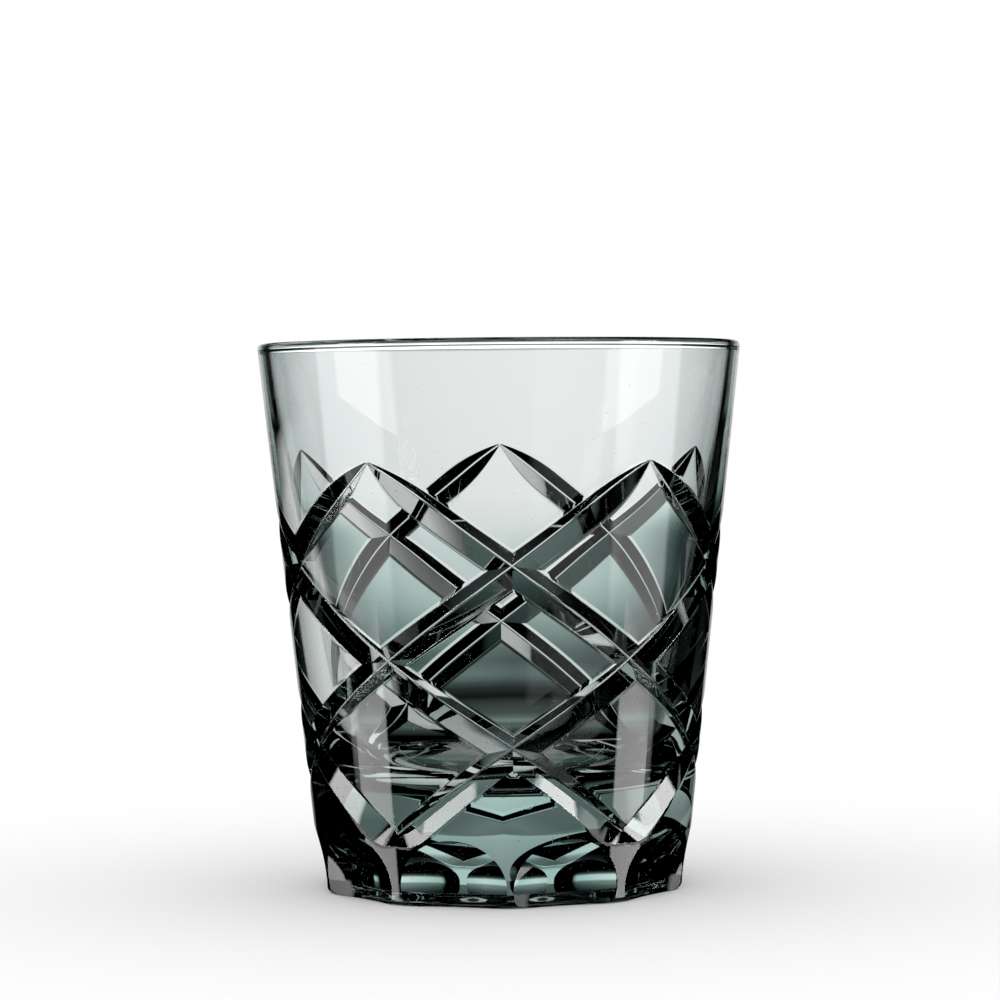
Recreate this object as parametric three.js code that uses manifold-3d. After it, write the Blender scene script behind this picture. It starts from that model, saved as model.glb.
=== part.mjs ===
// Cut-glass whisky tumbler: one heavy-based glass with a lattice of mitre cuts
// and a row of thumbprint cuts round the heel. Millimetres, +Z up, origin at the
// centre of the foot, on the plane that the glass stands on.
import * as THREE from 'three';
import { mergeVertices } from 'three/addons/utils/BufferGeometryUtils.js';
import Module from 'manifold-3d';

// ---- driving dimensions ----------------------------------------------------
const HEIGHT = 100;            // foot to rim
const CONE_R0 = 33.6;          // outer wall radius projected to z = 0
const CONE_SLOPE = 0.109;      // outer wall radius gained per mm of height
const RIM_WALL = 2.0;          // wall thickness at the lip
const HEEL_R = 1.4;            // rounding where the wall meets the foot
const FOOT_RECESS_R = 28.5;    // shallow hollow ground in the underside
const FOOT_RECESS_D = 2.0;
const FLOOR_Z = 19.0;          // inside bottom of the cup, at the axis
const SEGMENTS = 80;           // facets round the axis
const SLIVER = 0.004;          // slivers thinner than this are dropped

const REPEATS = 5;             // the cut pattern repeats five times round the glass
const TURN = 1.5;              // whole pattern turned about +Z, degrees
const SWAY = 1.5;              // the lattice sits about 1 mm off the axis, in degrees
// heights of the five rows of crossings, first the peaks, last the V-points;
// neighbouring rows are half a repeat (36 degrees) apart
const ROW_Z = [78.54, 60.13, 43.26, 28.05, 12.81];
const CUT_DEPTH = 2.05;        // mitre cut, at its valley
const CUT_UP = 2.0;            // flank width above the valley, along the surface
const CUT_DOWN = 2.8;          // flank width below the valley
const CUT_STAND = 1.2;         // how far the cutter stands out of the wall
const CUT_WHEEL_R = 42;        // wheel radius that shapes the leaf-like tip
const EXIT_WHEEL_R = 14;       // tighter wheel that ends the cut under the V-point
const EXIT_END = 4.10;         // where the cut has run out, in half repeats from the peak
const CUT_STEPS = 32;

const THUMB_Z = 3.0;           // height of the thumbprints' centres
const THUMB_HALF_W = 9.8;      // half their width and height on the wall
const THUMB_HALF_H = 9.1;
const THUMB_DEPTH = 2.6;       // depth at the centre
const THUMB_OFF = 17.65;       // half angle between the two that flank a thin stem
const THUMB_SWAY = 0.6;
const THUMB_WHEEL_HALF = 12.5; // half the thickness of the crowned wheel that grinds them
const THUMB_FACETS = 72;
const THUMB_RINGS = 12;

// ---- outer wall --------------------------------------------------------------
const tilt = Math.atan(CONE_SLOPE);
const wallR = (z) => CONE_R0 + CONE_SLOPE * z;
const rad = THREE.MathUtils.degToRad;

// the lattice, cut 1 mm off centre, as an angle round the glass
const swayed = (azimuth) => azimuth + rad(TURN) + rad(SWAY) * Math.cos(azimuth);

// azimuth 0 faces -Y and grows towards +X
function onWall(azimuth, z, out) {
  const er = new THREE.Vector3(Math.sin(azimuth), -Math.cos(azimuth), 0);
  const normal = er.clone().multiplyScalar(Math.cos(tilt)).add(new THREE.Vector3(0, 0, -Math.sin(tilt)));
  const p = er.multiplyScalar(wallR(z)).add(new THREE.Vector3(0, 0, z));
  return { p: p.addScaledVector(normal, out), normal };
}

// ---- solids for boolean work ---------------------------------------------------
const wasm = await Module();
wasm.setup();

function solid(geometry) {
  let g = geometry.clone();
  g.deleteAttribute('normal');
  g.deleteAttribute('uv');
  g = mergeVertices(g, 1e-4);
  const idx = g.index.array;
  const tri = [];
  for (let i = 0; i < idx.length; i += 3) {
    const [a, b, c] = [idx[i], idx[i + 1], idx[i + 2]];
    if (a !== b && b !== c && c !== a) tri.push(a, b, c);
  }
  const pos = g.attributes.position;
  let vol = 0;
  const va = new THREE.Vector3(), vb = new THREE.Vector3(), vc = new THREE.Vector3();
  for (let i = 0; i < tri.length; i += 3) {
    va.fromBufferAttribute(pos, tri[i]);
    vb.fromBufferAttribute(pos, tri[i + 1]);
    vc.fromBufferAttribute(pos, tri[i + 2]);
    vol += va.dot(vb.cross(vc));
  }
  if (vol < 0) for (let i = 0; i < tri.length; i += 3) [tri[i + 1], tri[i + 2]] = [tri[i + 2], tri[i + 1]];
  return new wasm.Manifold(new wasm.Mesh({
    numProp: 3,
    vertProperties: new Float32Array(pos.array),
    triVerts: new Uint32Array(tri),
  }));
}

function toGeometry(manifold) {
  const m = manifold.getMesh();
  const g = new THREE.BufferGeometry();
  g.setAttribute('position', new THREE.BufferAttribute(new Float32Array(m.vertProperties), 3));
  g.setIndex(new THREE.BufferAttribute(new Uint32Array(m.triVerts), 1));
  return g;
}

// ---- turned blank: section from the axis, round the foot and rim, to the axis ---
function blank() {
  const pts = [];
  const at = (r, z) => pts.push(new THREE.Vector2(r, z));
  at(0, FOOT_RECESS_D);
  at(FOOT_RECESS_R - 1.6, FOOT_RECESS_D);
  at(FOOT_RECESS_R, 0);
  const footR = wallR(0) - HEEL_R;
  at(footR, 0);
  for (const a of [30, 60]) {
    at(footR + HEEL_R * Math.sin(rad(a)), HEEL_R * (1 - Math.cos(rad(a))));
  }
  at(wallR(HEEL_R), HEEL_R);
  at(wallR(18), 18);
  at(wallR(45), 45);
  at(wallR(72), 72);
  // lip: a half round between the outer and inner walls
  const lipR = RIM_WALL / 2;
  const lipZ = HEIGHT - lipR;
  for (const a of [0, 36, 72, 108, 144, 180]) {
    const c = wallR(lipZ) - lipR;
    at(c + lipR * Math.cos(rad(a)), lipZ + lipR * Math.sin(rad(a)) / Math.sin(rad(72)) * (Math.abs(a - 90) < 20 ? 1 : Math.sin(rad(72))));
  }
  // inside wall: thin at the lip, thick below, rounded into the floor
  for (const [r, z] of [
    [41.7, 93.5], [40.6, 85.5], [39.3, 77.5], [37.85, 69], [36.0, 59.5], [34.2, 50],
    [31.6, 36.5], [29.9, 28.6], [27.4, 23.6], [23.2, 20.5], [17.0, 19.35],
  ]) at(r, z);
  at(0, FLOOR_Z);
  const g = new THREE.LatheGeometry(pts, SEGMENTS);
  g.rotateX(Math.PI / 2);
  return g;
}

// ---- mitre cut ------------------------------------------------------------------
// Height of the valley after `u` half repeats: a Catmull-Rom curve through the
// rows, straight beyond its ends.
function rowHeight(u) {
  const z = ROW_Z;
  const n = z.length - 1;
  if (u <= 0) return z[0] + (z[1] - z[0]) * u;
  if (u >= n) return z[n] + (z[n] - z[n - 1]) * (u - n);
  const i = Math.min(Math.floor(u), n - 1);
  const t = u - i;
  const p1 = z[i], p2 = z[i + 1];
  const m1 = i > 0 ? (z[i + 1] - z[i - 1]) / 2 : p2 - p1;
  const m2 = i < n - 1 ? (z[i + 2] - z[i]) / 2 : p2 - p1;
  const t2 = t * t, t3 = t2 * t;
  return (2 * t3 - 3 * t2 + 1) * p1 + (t3 - 2 * t2 + t) * m1 + (-2 * t3 + 3 * t2) * p2 + (t3 - t2) * m2;
}

const CUT_U0 = -0.10, CUT_U1 = 4.15;   // where the wheel enters and leaves
const STEP_LEN_TOP = 31;               // surface length of one half repeat, about
const STEP_LEN_FOOT = 28;

function cutDepth(u) {
  const wheel = (s, r) => {
    const back = Math.sqrt(2 * r * CUT_DEPTH - CUT_DEPTH ** 2) - s;
    if (back <= 0) return CUT_DEPTH;
    return CUT_DEPTH - (r - Math.sqrt(Math.max(r ** 2 - back ** 2, 0)));
  };
  return Math.min(wheel(u * STEP_LEN_TOP, CUT_WHEEL_R), wheel((EXIT_END - u) * STEP_LEN_FOOT, EXIT_WHEEL_R));
}

function mitreCutter(startAzimuth, hand) {
  const v = new THREE.Shape([new THREE.Vector2(0, -1), new THREE.Vector2(1, 1), new THREE.Vector2(-1, 1)]);
  const g = new THREE.ExtrudeGeometry(v, { steps: CUT_STEPS, depth: 1, bevelEnabled: false });
  const pos = g.attributes.position;
  const step = rad(180 / REPEATS);
  for (let i = 0; i < pos.count; i++) {
    const side = pos.getX(i), low = pos.getY(i) < 0;
    const u = CUT_U0 + (CUT_U1 - CUT_U0) * pos.getZ(i);
    const depth = cutDepth(u);
    const azimuth = startAzimuth + hand * u * step;
    const e = 1e-3;
    const here = onWall(swayed(azimuth), rowHeight(u), 0);
    const next = onWall(swayed(azimuth + hand * e * step), rowHeight(u + e), 0);
    const along = next.p.clone().sub(here.p).normalize();
    const up = new THREE.Vector3().crossVectors(here.normal, along);
    if (up.z < 0) up.negate();
    // the lower flank keeps its width and the upper one narrows towards the foot
    const fade = THREE.MathUtils.smoothstep(u, 3.1, 4.0);
    const upK = (CUT_UP / CUT_DEPTH) * (1 - 0.55 * fade);
    const downK = (CUT_DOWN / CUT_DEPTH) * (1 + 0.45 * fade);
    const p = here.p.clone();
    if (low) {
      p.addScaledVector(here.normal, -depth);
    } else {
      p.addScaledVector(here.normal, CUT_STAND);
      const k = side > 0 ? upK : -downK;
      p.addScaledVector(up, k * (CUT_STAND + depth));
    }
    pos.setXYZ(i, p.x, p.y, p.z);
  }
  return g;
}

// ---- thumbprint cut ----------------------------------------------------------------
const thumbWheelR = (THUMB_HALF_H ** 2 + THUMB_DEPTH ** 2) / (2 * THUMB_DEPTH);
const thumbCrown = 2 * THUMB_DEPTH / THUMB_HALF_W ** 2 - 1 / wallR(THUMB_Z);

function thumbCutter(azimuth) {
  const pts = [new THREE.Vector2(0, -THUMB_WHEEL_HALF)];
  for (let i = 0; i <= THUMB_RINGS; i++) {
    const x = THUMB_WHEEL_HALF * (2 * i / THUMB_RINGS - 1);
    pts.push(new THREE.Vector2(thumbWheelR - thumbCrown * x * x / 2, x));
  }
  pts.push(new THREE.Vector2(0, THUMB_WHEEL_HALF));
  const g = new THREE.LatheGeometry(pts, THUMB_FACETS);
  // wheel axle lies level and tangent to the wall
  g.rotateZ(Math.PI / 2);
  g.rotateZ(azimuth);
  const { p } = onWall(azimuth, THUMB_Z, thumbWheelR - THUMB_DEPTH);
  g.translate(p.x, p.y, p.z);
  return g;
}

// ---- cut the glass --------------------------------------------------------------------
let glass = solid(blank());
for (let k = 0; k < REPEATS; k++) {
  const peak = rad((360 / REPEATS) * (k + 0.5));
  glass = glass.subtract(solid(mitreCutter(peak, 1)));
  glass = glass.subtract(solid(mitreCutter(peak, -1)));
}
for (let k = 0; k < REPEATS; k++) {
  for (const s of [-1, 1]) {
    const azimuth = rad(TURN + (360 / REPEATS) * k + s * THUMB_OFF);
    glass = glass.subtract(solid(thumbCutter(azimuth + rad(THUMB_SWAY) * Math.cos(azimuth))));
  }
}

const tumbler = new THREE.Mesh(
  toGeometry(glass.simplify(SLIVER)),
  new THREE.MeshStandardMaterial({ color: 0x7f918d, roughness: 0.04, metalness: 0, transparent: true, opacity: 0.45 }),
);
tumbler.name = 'tumbler_glass';

const whiskyTumbler = new THREE.Group();
whiskyTumbler.name = 'whisky_tumbler';
whiskyTumbler.add(tumbler);

export default whiskyTumbler;
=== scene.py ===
# Cut-glass whisky tumbler: the fine glass mesh, its material and the studio around it.
# Lengths in the shape section are millimetres; the mesh is scaled to metres at the end.
import math

import bpy
import numpy as np
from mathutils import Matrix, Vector


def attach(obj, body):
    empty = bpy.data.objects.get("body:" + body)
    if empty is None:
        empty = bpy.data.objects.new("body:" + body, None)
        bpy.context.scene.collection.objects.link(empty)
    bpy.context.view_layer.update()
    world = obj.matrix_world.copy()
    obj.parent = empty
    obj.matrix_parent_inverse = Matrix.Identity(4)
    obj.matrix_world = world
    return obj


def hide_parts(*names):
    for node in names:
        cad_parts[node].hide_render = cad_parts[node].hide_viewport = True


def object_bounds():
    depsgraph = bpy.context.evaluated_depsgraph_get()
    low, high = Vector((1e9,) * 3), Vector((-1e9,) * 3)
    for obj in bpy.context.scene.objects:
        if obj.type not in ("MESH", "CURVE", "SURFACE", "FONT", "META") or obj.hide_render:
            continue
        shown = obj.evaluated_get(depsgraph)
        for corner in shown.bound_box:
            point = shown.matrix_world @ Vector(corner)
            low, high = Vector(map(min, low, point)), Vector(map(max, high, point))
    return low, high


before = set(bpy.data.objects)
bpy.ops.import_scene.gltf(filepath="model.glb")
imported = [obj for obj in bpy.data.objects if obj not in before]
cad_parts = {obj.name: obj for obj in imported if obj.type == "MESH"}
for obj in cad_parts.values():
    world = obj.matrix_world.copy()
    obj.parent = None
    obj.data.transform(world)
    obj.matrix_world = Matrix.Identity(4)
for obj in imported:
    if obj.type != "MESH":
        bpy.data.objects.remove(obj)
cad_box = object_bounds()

# ---------------------------------------------------------------- dimensions
HEIGHT = 100.0
CONE_R0, CONE_SLOPE = 33.6, 0.109
RIM_WALL = 2.0
HEEL_R = 1.4
FOOT_RECESS_R, FOOT_RECESS_D = 28.5, 2.0
FLOOR_Z = 19.0
REPEATS, TURN, SWAY = 5, 1.5, 1.5     # degrees; sway is the lattice sitting 1 mm off the axis
ROW_Z = [78.54, 60.13, 43.26, 28.05, 12.81]
CUT_DEPTH, CUT_UP, CUT_DOWN = 2.05, 2.0, 2.8
CUT_STAND, CUT_WHEEL_R, EXIT_WHEEL_R, EXIT_END = 1.2, 42.0, 14.0, 4.10
VALLEY_R = 0.42
SHOULDER_R, SOFT_R, SOFT_ANGLE, LAST_ANGLE = 0.35, 6.5, 6.0, 0.5   # polished shoulder of a cut: tight, then slack
THUMB_Z, THUMB_HALF_W, THUMB_HALF_H, THUMB_DEPTH = 3.0, 9.8, 9.1, 2.6
THUMB_OFF, THUMB_SWAY = 17.65, 0.6
COLUMNS = 360

TILT = math.atan(CONE_SLOPE)
RAD = math.pi / 180


def wall_r(z):
    return CONE_R0 + CONE_SLOPE * z


def swayed(az):
    return az + TURN * RAD + SWAY * RAD * np.cos(az)


def on_wall(az, z):
    """Points and outward normals on the outer cone; azimuth 0 faces -Y and grows towards +X."""
    az, z = np.asarray(az, float), np.asarray(z, float)
    er = np.stack([np.sin(az), -np.cos(az), np.zeros_like(az)], -1)
    n = er * math.cos(TILT)
    n[..., 2] = -math.sin(TILT)
    p = er * wall_r(z)[..., None]
    p[..., 2] = z
    return p, n


def unit(v):
    return v / np.maximum(np.linalg.norm(v, axis=-1, keepdims=True), 1e-12)


def grid_mesh(name, verts, faces, normals, kind):
    """A mesh with the finished surface's normal kept at every face corner, and what cut the face."""
    me = bpy.data.meshes.new(name)
    me.from_pydata([tuple(v) for v in verts], [], faces)
    me.update()
    flat = np.concatenate([np.asarray(n, float) for n in normals]).astype(np.float32)
    at = me.attributes.new("nrm", "FLOAT_VECTOR", "CORNER")
    at.data.foreach_set("vector", flat.ravel())
    fa = me.attributes.new("kind", "INT", "FACE")
    fa.data.foreach_set("value", np.full(len(me.polygons), kind, np.int32))
    ob = bpy.data.objects.new(name, me)
    bpy.context.scene.collection.objects.link(ob)
    return ob


# ---------------------------------------------------------------- turned blank
def spline(pts, per=8):
    """Catmull-Rom through (r, z) points, chord-length knots, with end slopes kept natural."""
    p = np.asarray(pts, float)
    ext = np.vstack([2 * p[0] - p[1], p, 2 * p[-1] - p[-2]])
    out = []
    for i in range(1, len(ext) - 2):
        p0, p1, p2, p3 = ext[i - 1 : i + 3]
        t0 = 0.0
        t1 = t0 + np.linalg.norm(p1 - p0) ** 0.5
        t2 = t1 + np.linalg.norm(p2 - p1) ** 0.5
        t3 = t2 + np.linalg.norm(p3 - p2) ** 0.5
        for t in np.linspace(t1, t2, per, endpoint=False):
            a1 = (t1 - t) / (t1 - t0) * p0 + (t - t0) / (t1 - t0) * p1
            a2 = (t2 - t) / (t2 - t1) * p1 + (t - t1) / (t2 - t1) * p2
            a3 = (t3 - t) / (t3 - t2) * p2 + (t - t2) / (t3 - t2) * p3
            b1 = (t2 - t) / (t2 - t0) * a1 + (t - t0) / (t2 - t0) * a2
            b2 = (t3 - t) / (t3 - t1) * a2 + (t - t1) / (t3 - t1) * a3
            out.append((t2 - t) / (t2 - t1) * b1 + (t - t1) / (t2 - t1) * b2)
    out.append(p[-1])
    return np.array(out)


def smooth_run(pts):
    """Normals of a smooth run of profile points, pointing out of the glass for a run that goes counter-clockwise."""
    p = np.asarray(pts, float)
    d = np.gradient(p, axis=0)
    n = np.stack([d[:, 1], -d[:, 0]], -1)
    n = unit(n)
    return [(p[i, 0], p[i, 1], n[i, 0], n[i, 1]) for i in range(len(p))]


def blank():
    runs = []
    # underside: shallow hollow, its sloping edge, the ring that stands on the table
    r0, d0 = FOOT_RECESS_R, FOOT_RECESS_D
    foot_r = wall_r(0) - HEEL_R
    under = [(0.0, d0, 0, -1), (r0 * 0.5, d0, 0, -1), (r0 - 2.4, d0, 0, -1)]
    blend = []
    for t in np.linspace(0, 1, 9):
        s = t * t * (3 - 2 * t)
        blend.append((r0 - 2.4 + 2.4 * t, d0 * (1 - s)))
    runs.append(under)
    runs.append(smooth_run(blend))
    runs.append([(r0, 0.0, 0, -1), (foot_r, 0.0, 0, -1)])
    # heel rounding, tangent to the cone
    sweep = math.pi / 2 - TILT
    cz = HEEL_R
    cr = wall_r(HEEL_R * (1 - math.sin(TILT))) - HEEL_R * math.cos(TILT)
    heel = []
    for a in np.linspace(0, sweep, 9):
        heel.append((cr + HEEL_R * math.sin(a), cz - HEEL_R * math.cos(a), math.sin(a), -math.cos(a)))
    runs[-1][-1] = (cr, 0.0, 0, -1)
    runs.append(heel)
    # outer cone up to the lip
    lip_r = RIM_WALL / 2
    lip_z = HEIGHT - lip_r
    top = lip_z - lip_r * math.sin(TILT)
    z0 = heel[-1][1]
    c, s = math.cos(TILT), -math.sin(TILT)
    runs.append([(wall_r(z), z, c, s) for z in [z0, 10, 20, 30, 40, 50, 60, 70, 80, 90, top]])
    # fire-polished lip
    cr = wall_r(top) - lip_r * c
    lip = []
    for a in np.linspace(-TILT, math.pi + 0.16, 19):
        lip.append((cr + lip_r * math.cos(a), lip_z + lip_r * math.sin(a), math.cos(a), math.sin(a)))
    runs.append(lip)
    # inside, from the lip down to the middle of the floor
    x, z = lip[-1][0], lip[-1][1]
    inner = spline([
        (x, z), (41.7, 93.5), (40.6, 85.5), (39.3, 77.5), (37.85, 69), (36.0, 59.5), (34.2, 50), (31.6, 36.5),
        (29.9, 28.6), (27.4, 23.6), (23.2, 20.5), (17.0, 19.35), (9.0, 19.03), (0.0, FLOOR_Z),
    ], 7)
    run = smooth_run(inner)
    run[-1] = (0.0, FLOOR_Z, 0, 1)
    run[0] = (run[0][0], run[0][1], lip[-1][2], lip[-1][3])
    runs.append(run)

    # one list of points; neighbouring runs share their end point
    pts, segs = [], []
    for r in runs:
        for i in range(len(r) - 1):
            a, b = r[i], r[i + 1]
            if not pts:
                pts.append((a[0], a[1]))
            segs.append((len(pts) - 1, len(pts), a[2:], b[2:]))
            pts.append((b[0], b[1]))
    n = COLUMNS
    ang = np.arange(n) * 2 * math.pi / n
    co, si = np.cos(ang), np.sin(ang)
    first = []
    verts = []
    for r, z in pts:
        first.append(len(verts))
        if r < 1e-6:
            verts.append((0, 0, z))
        else:
            verts += [(r * co[k], r * si[k], z) for k in range(n)]
    faces, normals = [], []
    for a, b, na, nb in segs:
        ra, rb = pts[a][0] < 1e-6, pts[b][0] < 1e-6
        for k in range(n):
            m = (k + 1) % n
            A = [co[k] * na[0], si[k] * na[0], na[1]]
            B = [co[m] * na[0], si[m] * na[0], na[1]]
            C = [co[m] * nb[0], si[m] * nb[0], nb[1]]
            D = [co[k] * nb[0], si[k] * nb[0], nb[1]]
            if ra:
                faces.append((first[a], first[b] + m, first[b] + k))
                normals.append([A, C, D])
            elif rb:
                faces.append((first[a] + k, first[a] + m, first[b]))
                normals.append([A, B, D])
            else:
                faces.append((first[a] + k, first[a] + m, first[b] + m, first[b] + k))
                normals.append([A, B, C, D])
    return grid_mesh("tumbler_glass_fine", verts, faces, normals, 0)


# ---------------------------------------------------------------- mitre cuts
def row_height(u):
    z = ROW_Z
    n = len(z) - 1
    out = np.empty_like(u)
    for j, x in enumerate(u):
        if x <= 0:
            out[j] = z[0] + (z[1] - z[0]) * x
        elif x >= n:
            out[j] = z[n] + (z[n] - z[n - 1]) * (x - n)
        else:
            i = min(int(x), n - 1)
            t = x - i
            m1 = (z[i + 1] - z[i - 1]) / 2 if i > 0 else z[i + 1] - z[i]
            m2 = (z[i + 2] - z[i]) / 2 if i < n - 1 else z[i + 1] - z[i]
            out[j] = ((2 * t**3 - 3 * t**2 + 1) * z[i] + (t**3 - 2 * t**2 + t) * m1
                      + (-2 * t**3 + 3 * t**2) * z[i + 1] + (t**3 - t**2) * m2)
    return out


def cut_depth(u):
    def wheel(s, r):
        back = np.maximum(math.sqrt(2 * r * CUT_DEPTH - CUT_DEPTH**2) - s, 0)
        return CUT_DEPTH - (r - np.sqrt(np.maximum(r**2 - back**2, 0)))

    return np.minimum(wheel(u * 31, CUT_WHEEL_R), wheel((EXIT_END - u) * 28, EXIT_WHEEL_R))


def mitre_cutter(start, hand, steps=230, arc=6):
    """The swept outline of a mitre wheel: softly rounded shoulders, two flanks, a rounded valley."""
    u = np.linspace(-0.10, 4.16, steps + 1)
    step = math.pi / REPEATS
    depth = cut_depth(u)
    clear = 1.5 * np.maximum(0.01 - depth, 0)        # before it bites, the wheel is held off the wall
    depth = np.maximum(depth, 0.01)
    az, z0 = swayed(start + hand * u * step), row_height(u)
    p, nrm = on_wall(az, z0)
    q, _ = on_wall(swayed(start + hand * (u + 1e-4) * step), row_height(u + 1e-4))
    along = unit(q - p)
    up = np.cross(nrm, along)
    up *= np.sign(up[:, 2:3])
    er = np.stack([np.sin(az), -np.cos(az), np.zeros_like(az)], -1)
    et = np.stack([np.cos(az), np.sin(az), np.zeros_like(az)], -1)
    up_t, up_z = (up * et).sum(-1), up[:, 2]

    def offset(b, n):
        """A point b along the wall from the cut's line and n above the wall, with its local frame."""
        def at(bb):
            zz = z0 + bb * up_z
            return on_wall(az + bb * up_t / wall_r(zz), zz)
        P, nn = at(b)
        P2, _ = at(b + 1e-3)
        return P + nn * (n + clear)[:, None], unit(P2 - P), nn

    fade = np.clip((u - 3.1) / 0.9, 0, 1)
    fade = fade * fade * (3 - 2 * fade)
    ku = CUT_UP / CUT_DEPTH * (1 - 0.55 * fade)
    kl = CUT_DOWN / CUT_DEPTH * (1 + 0.45 * fade)
    # the rounded valley, tangent to both flanks
    nl = unit(np.stack([np.ones_like(kl), kl], -1))
    nu = unit(np.stack([-np.ones_like(ku), ku], -1))
    det = nl[:, 0] * nu[:, 1] - nl[:, 1] * nu[:, 0]
    cb = VALLEY_R * (nu[:, 1] - nl[:, 1]) / det
    cn = VALLEY_R * (nl[:, 0] - nu[:, 0]) / det
    lift = cn - VALLEY_R            # how far the rounding fills the sharp valley
    base = -(depth + lift)          # the sharp valley's depth
    small = np.clip(depth / 1.2, 0.02, 1)
    lift_off = 0.003

    def shoulder(k, side):
        """From the open air down to the flank: outline points and outline normals."""
        phi = np.arctan(1 / k)
        soft = np.minimum(SOFT_ANGLE * RAD, phi * 0.9)
        last = LAST_ANGLE * RAD
        r1, r2 = SHOULDER_R * small, SOFT_R * small
        dn = r1 * (np.cos(soft) - np.cos(phi)) + r2 * (math.cos(last) - np.cos(soft))
        n_a = lift_off - dn
        b_a = k * (n_a - base)
        pts, nors = [], []
        for t in np.linspace(0, 1, 6):                      # tight part, going outwards
            a = phi + (soft - phi) * t
            pts.append((b_a + r1 * (np.sin(phi) - np.sin(a)), n_a + r1 * (np.cos(a) - np.cos(phi))))
            nors.append(a)
        b_b, n_b = pts[-1]
        for t in np.linspace(0, 1, 7)[1:]:
            a = soft + (last - soft) * t
            pts.append((b_b + r2 * (np.sin(soft) - np.sin(a)), n_b + r2 * (np.cos(a) - np.cos(soft))))
            nors.append(a)
        pts.append((pts[-1][0] + 0.05, np.full_like(u, CUT_STAND)))
        nors.append(nors[-1])
        return [(side * b, n) for b, n in pts], [np.stack([-side * np.sin(a), np.cos(a)], -1) for a in nors]

    lines, n2 = [], []
    pl, ql = shoulder(kl, -1)
    lines += pl[::-1]
    n2 += ql[::-1]
    al, au = np.arctan2(nl[:, 1], nl[:, 0]), np.arctan2(nu[:, 1], nu[:, 0])
    for t in np.linspace(0, 1, arc + 1):
        a = al + (au - al) * t
        nn = np.stack([np.cos(a), np.sin(a)], -1)
        lines.append((cb - VALLEY_R * nn[:, 0], base + cn - VALLEY_R * nn[:, 1]))
        n2.append(nn)
    pu, qu = shoulder(ku, 1)
    lines += pu
    n2 += qu
    rows, nor = [], []
    for (b, n), m in zip(lines, n2):
        P, tb, nb = offset(b, n)
        du = np.gradient(P, axis=0)
        tv = tb * m[:, 1:2] - nb * m[:, 0:1]
        N = unit(np.cross(du, tv))
        ref = tb * m[:, 0:1] + nb * m[:, 1:2]
        N *= np.sign((N * ref).sum(-1, keepdims=True))
        rows.append(P)
        nor.append(N)
    L, S = len(rows), steps + 1
    verts = np.stack(rows, 1).reshape(-1, 3)         # index = s * L + l
    nor = np.stack(nor, 1)
    faces, normals = [], []
    for s in range(steps):
        for l in range(L - 1):
            q = [(s, l), (s + 1, l), (s + 1, l + 1), (s, l + 1)]
            faces.append([a * L + b for a, b in q])
            normals.append([nor[a, b] for a, b in q])
        q = [(s, L - 1), (s + 1, L - 1), (s + 1, 0), (s, 0)]
        faces.append([a * L + b for a, b in q])
        normals.append([nrm[s]] * 4)
    faces.append([l for l in range(L)])
    normals.append([nrm[0]] * L)
    faces.append([steps * L + l for l in reversed(range(L))])
    normals.append([nrm[-1]] * L)
    if volume(verts, faces) < 0:
        faces = [f[::-1] for f in faces]
        normals = [n[::-1] for n in normals]
    return grid_mesh("cut", verts, faces, normals, 1)


def volume(verts, faces):
    v = np.asarray(verts)
    t = 0.0
    for f in faces:
        a = v[f[0]]
        for i in range(1, len(f) - 1):
            t += float(np.dot(a, np.cross(v[f[i]], v[f[i + 1]])))
    return t


# ---------------------------------------------------------------- thumbprints
def thumb_cutter(az, around=140, across=40):
    """Part of a slightly crowned wheel, whose axle lies level and tangent to the wall."""
    rw = (THUMB_HALF_H**2 + THUMB_DEPTH**2) / (2 * THUMB_DEPTH)
    crown = 2 * THUMB_DEPTH / THUMB_HALF_W**2 - 1 / wall_r(THUMB_Z)     # 1 / crown radius
    p, n = on_wall(np.array([az]), np.array([THUMB_Z]))
    p, n = p[0], n[0]
    t = np.array([math.cos(az), math.sin(az), 0.0])               # along the axle
    w = np.cross(n, t)                                             # up along the wall
    c = p + n * (rw - THUMB_DEPTH)
    half = 12.5
    xs = np.linspace(-half, half, across + 1)
    lim = min(1.2, 15.0 / rw)
    an = np.linspace(-lim, lim, around + 1)
    verts, nor = [], []
    for x in xs:
        rr = rw - crown * x * x / 2
        slope = -crown * x
        for a in an:
            d = -n * math.cos(a) + w * math.sin(a)
            verts.append(c + t * x + d * rr)
            nor.append(-unit(d - t * slope))
    # close it behind with a flat back, well clear of the wall
    A, X = around + 1, across + 1
    faces, normals = [], []
    for i in range(across):
        for j in range(around):
            f = [i * A + j, (i + 1) * A + j, (i + 1) * A + j + 1, i * A + j + 1]
            faces.append(f)
            normals.append([nor[k] for k in f])
    k0 = len(verts)
    for x in (-half, half):
        for s in (-1, 1):
            verts.append(c + t * x - n * (rw * math.cos(lim) - 8.0) + w * s * rw * math.sin(lim))
    bl, tl, br, tr = k0, k0 + 1, k0 + 2, k0 + 3
    flat = [-n] * 400
    faces.append([j for j in range(A)] + [tl, bl])
    faces.append([(X - 1) * A + j for j in range(A)][::-1] + [br, tr])
    faces.append([i * A for i in range(X)][::-1] + [bl, br])
    faces.append([i * A + A - 1 for i in range(X)] + [tr, tl])
    faces.append([bl, tl, tr, br])
    for f in faces[across * around :]:
        normals.append(flat[: len(f)])
    if volume(verts, faces) < 0:
        faces = [f[::-1] for f in faces]
        normals = [n_[::-1] for n_ in normals]
    return grid_mesh("thumb", verts, faces, normals, 2)


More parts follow.
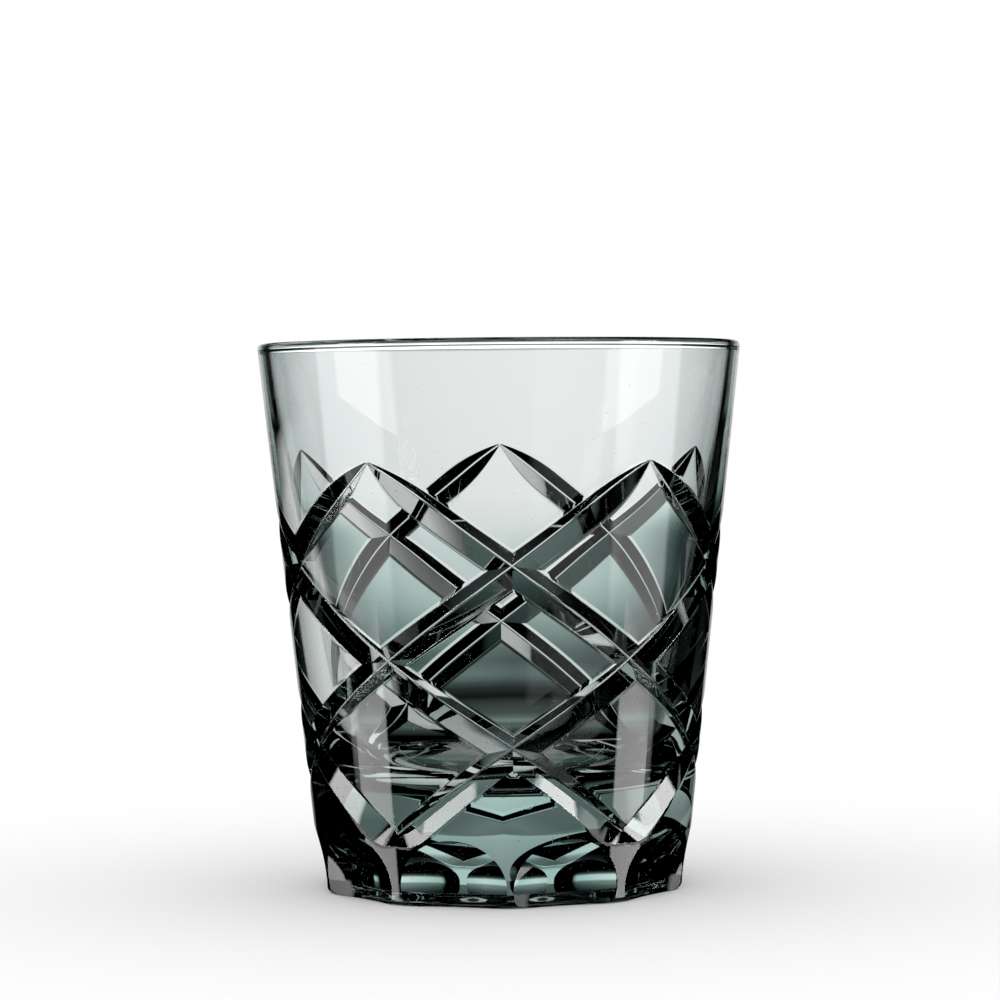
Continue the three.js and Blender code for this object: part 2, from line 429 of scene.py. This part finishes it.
# ---------------------------------------------------------------- cut the glass
def cut_away(ob, cutters):
    for c in cutters:
        m = ob.modifiers.new("cut", "BOOLEAN")
        m.operation, m.solver, m.object = "DIFFERENCE", "MANIFOLD", c
        dg = bpy.context.evaluated_depsgraph_get()
        me = bpy.data.meshes.new_from_object(ob.evaluated_get(dg), preserve_all_data_layers=True, depsgraph=dg)
        ob.modifiers.remove(m)
        old = ob.data
        ob.data = me
        bpy.data.meshes.remove(old)
        old = c.data
        bpy.data.objects.remove(c)
        bpy.data.meshes.remove(old)


glass = blank()
cutters = []
for k in range(REPEATS):
    peak = 360 / REPEATS * (k + 0.5) * RAD
    cutters += [mitre_cutter(peak, 1), mitre_cutter(peak, -1)]
for k in range(REPEATS):
    for s in (-1, 1):
        az = (TURN + 360 / REPEATS * k + s * THUMB_OFF) * RAD
        cutters.append(thumb_cutter(az + THUMB_SWAY * RAD * math.cos(az)))
cut_away(glass, cutters)

me = glass.data
co = np.empty(len(me.vertices) * 3, np.float32)
me.vertices.foreach_get("co", co)
me.vertices.foreach_set("co", co * 0.001)
me.update()
nrm = np.empty(len(me.loops) * 3, np.float32)
me.attributes["nrm"].data.foreach_get("vector", nrm)
nrm = unit(nrm.reshape(-1, 3).astype(float))
for p in me.polygons:
    p.use_smooth = True
me.normals_split_custom_set([tuple(v) for v in nrm])
print("glass mesh", len(me.vertices), "vertices", len(me.polygons), "faces")

# 1 where a wheel has cut the glass, for the material
kind = np.empty(len(me.polygons), np.int32)
me.attributes["kind"].data.foreach_get("value", kind)
worked = me.attributes.new("worked", "FLOAT", "FACE")
worked.data.foreach_set("value", (kind > 0).astype(np.float32))

# ---------------------------------------------------------------- glass
def glass_material():
    mat = bpy.data.materials.new("smoke_cut_glass")
    mat.use_nodes = True
    nt = mat.node_tree
    nt.nodes.clear()
    N, L = nt.nodes.new, nt.links.new
    out = N("ShaderNodeOutputMaterial")
    p = N("ShaderNodeBsdfPrincipled")
    p.inputs["Base Color"].default_value = (1, 1, 1, 1)
    p.inputs["Transmission Weight"].default_value = 1.0
    p.inputs["IOR"].default_value = 1.52
    L(p.outputs["BSDF"], out.inputs["Surface"])

    def num(op, a, b=None, c=None, clamp=False):
        n = N("ShaderNodeMath")
        n.operation, n.use_clamp = op, clamp
        for i, v in enumerate((a, b, c)):
            if isinstance(v, (int, float)):
                n.inputs[i].default_value = v
            elif v is not None:
                L(v, n.inputs[i])
        return n.outputs[0]

    where = N("ShaderNodeTexCoord").outputs["Object"]

    def stretched(x, y, z):
        m = N("ShaderNodeMapping")
        m.inputs["Scale"].default_value = (x, y, z)
        L(where, m.inputs["Vector"])
        return m.outputs[0]

    def noise(vec, scale, detail=2.0, rough=0.5):
        n = N("ShaderNodeTexNoise")
        n.inputs["Scale"].default_value = scale
        n.inputs["Detail"].default_value = detail
        n.inputs["Roughness"].default_value = rough
        L(vec, n.inputs["Vector"])
        return n.outputs["Fac"]

    def specks(scale, size, share):
        """Dots of about `size` of a cell, in a `share` of the cells."""
        v = N("ShaderNodeTexVoronoi")
        v.inputs["Scale"].default_value = scale
        L(where, v.inputs["Vector"])
        pick = N("ShaderNodeSeparateColor")
        L(v.outputs["Color"], pick.inputs[0])
        near = num("LESS_THAN", v.outputs["Distance"], size)
        return num("MULTIPLY", near, num("LESS_THAN", pick.outputs[0], share))

    worked_at = N("ShaderNodeAttribute")
    worked_at.attribute_type = "GEOMETRY"
    worked_at.attribute_name = "worked"
    worked_here = worked_at.outputs["Fac"]
    plain_here = num("SUBTRACT", 1.0, worked_here)

    # fire-polished waviness, and the fine grain that the polishing left in the cuts
    wavy = num("MULTIPLY", noise(where, 80.0, 0.0), 8e-6)
    grain = num("MULTIPLY", num("MULTIPLY", noise(stretched(1, 1, 0.25), 2600.0, 0.0), 0.9e-6), worked_here)
    # thin scratches: the ridges of a stretched noise
    ridge = num("ABSOLUTE", num("SUBTRACT", noise(stretched(1, 1, 0.35), 120.0, 1.0), 0.5))
    line = num("SUBTRACT", 1.0, num("DIVIDE", ridge, 0.0016, clamp=True), clamp=True)
    sparse = num("GREATER_THAN", noise(where, 60.0, 0.0), 0.60)
    scratch = num("MULTIPLY", line, sparse)
    dust = specks(1100.0, 0.15, 0.014)
    pits = num("MULTIPLY", specks(2600.0, 0.22, 0.05), worked_here)
    height = num("ADD", num("ADD", wavy, grain), num("MULTIPLY", scratch, -1.2e-6))
    height = num("ADD", height, num("MULTIPLY", num("MAXIMUM", dust, pits), 5e-6))
    bump = N("ShaderNodeBump")
    bump.inputs["Strength"].default_value = 1.0
    bump.inputs["Distance"].default_value = 1.0
    L(height, bump.inputs["Height"])
    L(bump.outputs["Normal"], p.inputs["Normal"])

    haze = num("MULTIPLY", num("MULTIPLY", num("SUBTRACT", noise(where, 420.0, 1.0), 0.52, clamp=True), 0.16), worked_here)
    film = num("MULTIPLY", num("MULTIPLY", num("SUBTRACT", noise(where, 90.0, 0.0), 0.60, clamp=True), 0.05), plain_here)
    rough = num("ADD", haze, film)
    rough = num("MAXIMUM", rough, num("MULTIPLY", num("MAXIMUM", dust, pits), 0.30))
    rough = num("MAXIMUM", rough, num("MULTIPLY", scratch, 0.12))
    L(rough, p.inputs["Roughness"])
    vol = N("ShaderNodeVolumeAbsorption")
    vol.inputs["Color"].default_value = (0.14, 0.34, 0.30, 1)
    vol.inputs["Density"].default_value = 25.0
    L(vol.outputs["Volume"], out.inputs["Volume"])
    return mat


mat = glass_material()
me.materials.clear()
me.materials.append(mat)
for p in me.polygons:
    p.material_index = 0

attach(glass, "root")
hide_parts("tumbler_glass")

# ---------------------------------------------------------------- floor
fm = bpy.data.meshes.new("floor")
s = 6.0
fm.from_pydata([(-s, -s, 0), (s, -s, 0), (s, s, 0), (-s, s, 0)], [], [(0, 1, 2, 3)])
floor = bpy.data.objects.new("floor", fm)
bpy.context.scene.collection.objects.link(floor)
floor.location.z = cad_box[0][2] - 0.0001
fmat = bpy.data.materials.new("pale_floor")
fmat.use_nodes = True
b = fmat.node_tree.nodes["Principled BSDF"]
fn = fmat.node_tree.nodes.new
fl = fmat.node_tree.links.new
fco = fn("ShaderNodeTexCoord").outputs["Object"]
fine = fn("ShaderNodeTexNoise")
fine.inputs["Scale"].default_value = 900.0
broad = fn("ShaderNodeTexNoise")
broad.inputs["Scale"].default_value = 6.0
for n in (fine, broad):
    fl(fco, n.inputs["Vector"])
fr = fn("ShaderNodeMapRange")
fr.inputs["To Min"].default_value, fr.inputs["To Max"].default_value = 0.55, 0.65
fl(fine.outputs["Fac"], fr.inputs["Value"])
fl(fr.outputs[0], b.inputs["Roughness"])
fc = fn("ShaderNodeMix")
fc.data_type = "RGBA"
fc.inputs[6].default_value = (0.855, 0.855, 0.855, 1)
fc.inputs[7].default_value = (0.865, 0.865, 0.865, 1)
fl(broad.outputs["Fac"], fc.inputs[0])
fl(fc.outputs[2], b.inputs["Base Color"])
fb = fn("ShaderNodeBump")
fb.inputs["Strength"].default_value = 0.05
fb.inputs["Distance"].default_value = 0.00002
fl(fine.outputs["Fac"], fb.inputs["Height"])
fl(fb.outputs["Normal"], b.inputs["Normal"])
b.inputs["Specular IOR Level"].default_value = 0.0
fm.materials.append(fmat)
floor.visible_glossy = False
floor.visible_transmission = False

# ---------------------------------------------------------------- studio
world = bpy.data.worlds.new("studio")
bpy.context.scene.world = world
world.use_nodes = True
wt = world.node_tree
wt.nodes.clear()
WN, WL = wt.nodes.new, wt.links.new


def math_node(op, a, b=None, c=None, clamp=False):
    n = WN("ShaderNodeMath")
    n.operation, n.use_clamp = op, clamp
    for i, v in enumerate((a, b, c)):
        if v is None:
            continue
        if isinstance(v, (int, float)):
            n.inputs[i].default_value = v
        else:
            WL(v, n.inputs[i])
    return n.outputs[0]


tc = WN("ShaderNodeTexCoord")
sep = WN("ShaderNodeSeparateXYZ")
WL(tc.outputs["Generated"], sep.inputs[0])
X, Y, Z = sep.outputs
# azimuth from +Y towards +X in degrees, and elevation in degrees
azim = math_node("MULTIPLY", math_node("ARCTAN2", X, Y), 180 / math.pi)
elev = math_node("MULTIPLY", math_node("ARCSINE", Z), 180 / math.pi)


def band(v, lo, hi, soft):
    """1 between lo and hi, falling to 0 over soft on each side."""
    a = math_node("DIVIDE", math_node("SUBTRACT", v, lo - soft), soft, clamp=True)
    b = math_node("DIVIDE", math_node("SUBTRACT", hi + soft, v), soft, clamp=True)
    return math_node("MULTIPLY", a, b)


def away(v, centre):
    """Angle from a direction, wrapped to -180..180."""
    return math_node("WRAP", math_node("SUBTRACT", v, centre), 180.0, -180.0)


def patches(items):
    """The brightest of several soft-edged patches of sky: azimuth, half width, edge softness, how much it darkens towards its sides, lowest and highest elevation, edge softness, level at the lowest, level at the highest."""
    total = None
    for az, hw, sa, dim, lo, hi, se, v0, v1 in items:
        w = band(elev, lo, hi, se)
        if hw < 180:
            off = away(azim, az)
            w = math_node("MULTIPLY", w, band(off, -hw, hw, sa))
            if dim:
                w = math_node("MULTIPLY", w, math_node("SUBTRACT", 1.0, math_node("MULTIPLY", math_node("ABSOLUTE", off), dim / hw)))
        if v0 == v1:
            level_at = v0
        else:
            t = math_node("DIVIDE", math_node("SUBTRACT", elev, lo), hi - lo, clamp=True)
            level_at = math_node("ADD", math_node("MULTIPLY", t, v1 - v0), v0)
        w = math_node("MULTIPLY", w, level_at)
        total = w if total is None else math_node("MAXIMUM", total, w)
    return total


def shade(v, factor):
    """A colour dimmed by a value."""
    n = WN("ShaderNodeVectorMath")
    n.operation = "SCALE"
    WL(v, n.inputs[0])
    if isinstance(factor, (int, float)):
        n.inputs["Scale"].default_value = factor
    else:
        WL(factor, n.inputs["Scale"])
    return n.outputs[0]


def grey(v):
    n = WN("ShaderNodeCombineXYZ")
    for i in range(3):
        WL(v, n.inputs[i])
    return n.outputs[0]


def lighter(a, b):
    n = WN("ShaderNodeVectorMath")
    n.operation = "MAXIMUM"
    WL(a, n.inputs[0])
    WL(b, n.inputs[1])
    return n.outputs[0]


def skyline(stops, height):
    """Colour of the surroundings by elevation."""
    lo, hi = stops[0][0], stops[-1][0]
    n = WN("ShaderNodeValToRGB")
    WL(math_node("DIVIDE", math_node("SUBTRACT", height, lo), hi - lo, clamp=True), n.inputs[0])
    el = n.color_ramp.elements
    while len(el) < len(stops):
        el.new(0.5)
    for e, (deg, rgb) in zip(el, stops):
        e.position = (deg - lo) / (hi - lo)
        e.color = (*rgb, 1)
    for e, (deg, rgb) in zip(el, stops):          # adding elements reorders them; set them all once more
        e.position = (deg - lo) / (hi - lo)
        e.color = (*rgb, 1)
    return n.outputs[0]


# What the glass shows by refraction: a lit backdrop behind it, with dark sides and top
# that draw its edges. Seen through the cup the table is dark and tinted, in the tumbler's
# own shadow; seen through the solid base it is paler.
CUP = [
    (-40, (0.0, 0.0, 0.0)), (-28, (0.06, 0.08, 0.075)), (-23, (0.13, 0.17, 0.16)), (-21, (0.10, 0.13, 0.125)),
    (-18.5, (0.24, 0.30, 0.28)), (-16, (0.08, 0.10, 0.095)), (-13, (0.008, 0.01, 0.01)),
    (-10.8, (0.03, 0.038, 0.036)), (-10.0, (0.07, 0.095, 0.09)), (-9.5, (0.15, 0.20, 0.19)),
    (-8.9, (0.31, 0.42, 0.39)), (-8.3, (0.58, 0.70, 0.67)), (-7.5, (0.89, 0.94, 0.93)), (-6, (1.0, 1.0, 1.0)),
    (2, (1.0, 1.0, 1.0)), (5, (0.62, 0.66, 0.65)), (10, (0.24, 0.27, 0.26)), (16, (0.06, 0.065, 0.065)),
    (22, (0.0, 0.0, 0.0)),
]
BASE = [(deg, (v / 2, v / 2, v / 2)) for deg, v in (         # halved: a ramp's colours stop at 1
    (-45, 0.0), (-32, 0.12), (-24, 0.45), (-19, 0.60), (-15, 0.42), (-9, 0.40), (-5, 0.56), (-2, 0.60),
    (-0.8, 0.95), (0.4, 1.95), (5.6, 2.0), (7.4, 0.5), (9.5, 0.06), (12, 0.0),
)]
# The other ways of looking straight through both walls: backdrop and table.
AROUND = [
    (-90, 19, 2, 0.45, -8, 12, 3.2, 1.0, 1.0),
    (-45, 26, 4, 0.3, -90, -12, 3, 0.95, 0.95),
    (135, 26, 4, 0.3, -90, -7, 3, 0.95, 0.95),
]
# What it mirrors: the same backdrop and a tall softbox on each side.
MIRRORED = [
    (0, 19, 2, 0.45, -6, 12, 3, 1.0, 1.0),
    (98.5, 11, 1.5, 0, -40, -14, 2, 5.0, 5.0),
    (-98.5, 11, 1.5, 0, -40, -14, 2, 4.6, 4.6),
    (102, 17, 3, 0, -13, 17, 2, 2.5, 2.5),
    (-102, 17, 3, 0, -13, 17, 2, 2.5, 2.5),
    (105.5, 10.5, 2, 0, 16, 29, 2.5, 13.0, 13.0),
    (-105.5, 10.5, 2, 0, 16, 29, 2.5, 9.5, 9.5),
]
lp = WN("ShaderNodeLightPath")
depth = lp.outputs["Ray Depth"]
straight = math_node("LESS_THAN", depth, 5.5)      # through both walls, and no more
solid = math_node("LESS_THAN", depth, 3.5)         # in and out of the base, mirrored once inside at most
off = away(azim, 0.6)
aside = math_node("DIVIDE", math_node("ABSOLUTE", off), 20.0)
dipped = math_node("ADD", elev, math_node("SUBTRACT", math_node("MULTIPLY", aside, 2.6), 0.7))   # the dark table edge dips at the sides
window = math_node("MULTIPLY", band(off, -20.5, 20.5, 2.5), math_node("SUBTRACT", 1.03, math_node("MULTIPLY", aside, 0.34)))
around = math_node("MULTIPLY", patches(AROUND), straight)
gloss = grey(patches(MIRRORED))


def mix(fac, a, b):
    n = WN("ShaderNodeMix")
    n.data_type = "RGBA"
    WL(fac, n.inputs[0])
    for i, v in ((6, a), (7, b)):
        if isinstance(v, (int, float)):
            n.inputs[i].default_value = (v, v, v, 1)
        else:
            WL(v, n.inputs[i])
    return n.outputs[2]


trans = shade(mix(solid, skyline(CUP, dipped), shade(skyline(BASE, elev), 2.0)), window)
tinted = WN("ShaderNodeVectorMath")               # the backdrop's far sides are a little greener
tinted.operation = "MULTIPLY"
WL(trans, tinted.inputs[0])
green = WN("ShaderNodeCombineXYZ")
WL(math_node("SUBTRACT", 1.0, math_node("MULTIPLY", aside, 0.14)), green.inputs[0])
green.inputs[1].default_value = 1.0
WL(math_node("SUBTRACT", 1.0, math_node("MULTIPLY", aside, 0.02)), green.inputs[2])
WL(green.outputs[0], tinted.inputs[1])
trans = lighter(tinted.outputs[0], grey(around))
v = mix(lp.outputs["Is Glossy Ray"], 1.2, gloss)   # 1.2 is what lights the floor
v = mix(lp.outputs["Is Transmission Ray"], v, trans)
v = mix(lp.outputs["Is Camera Ray"], v, 1.0)
bg = WN("ShaderNodeBackground")
WL(v, bg.inputs["Color"])
bg.inputs["Strength"].default_value = 1.0
wo = WN("ShaderNodeOutputWorld")
WL(bg.outputs[0], wo.inputs["Surface"])
world.cycles.sampling_method = "NONE"

# ---------------------------------------------------------------- camera
cam_data = bpy.data.cameras.new("camera")
cam = bpy.data.objects.new("camera", cam_data)
bpy.context.scene.collection.objects.link(cam)
cam_data.sensor_width = 36.0
cam_data.lens = 3469.0 * 36 / 1000
CAM_D, CAM_Z, CAM_PITCH, CAM_ROLL = 0.640, 0.0865, -1.393, 0.525
cam.location = (0, -CAM_D, CAM_Z)
cam.rotation_mode = "XYZ"
look = Vector((0, math.cos(CAM_PITCH * RAD), math.sin(CAM_PITCH * RAD)))
quat = look.to_track_quat("-Z", "Y")
from mathutils import Quaternion
cam.rotation_mode = "QUATERNION"
cam.rotation_quaternion = quat @ Quaternion((0, 0, 1), -CAM_ROLL * RAD)
cam_data.clip_start, cam_data.clip_end = 0.01, 100
bpy.context.scene.camera = cam

sc = bpy.context.scene
sc.view_settings.view_transform = "Standard"
sc.view_settings.look = "None"
cy = sc.cycles
cy.max_bounces = 40
cy.transmission_bounces = 40
cy.glossy_bounces = 24
cy.diffuse_bounces = 3
cy.volume_bounces = 0
cy.caustics_reflective = False
cy.caustics_refractive = True
cy.blur_glossy = 0.0
cy.sample_clamp_indirect = 0
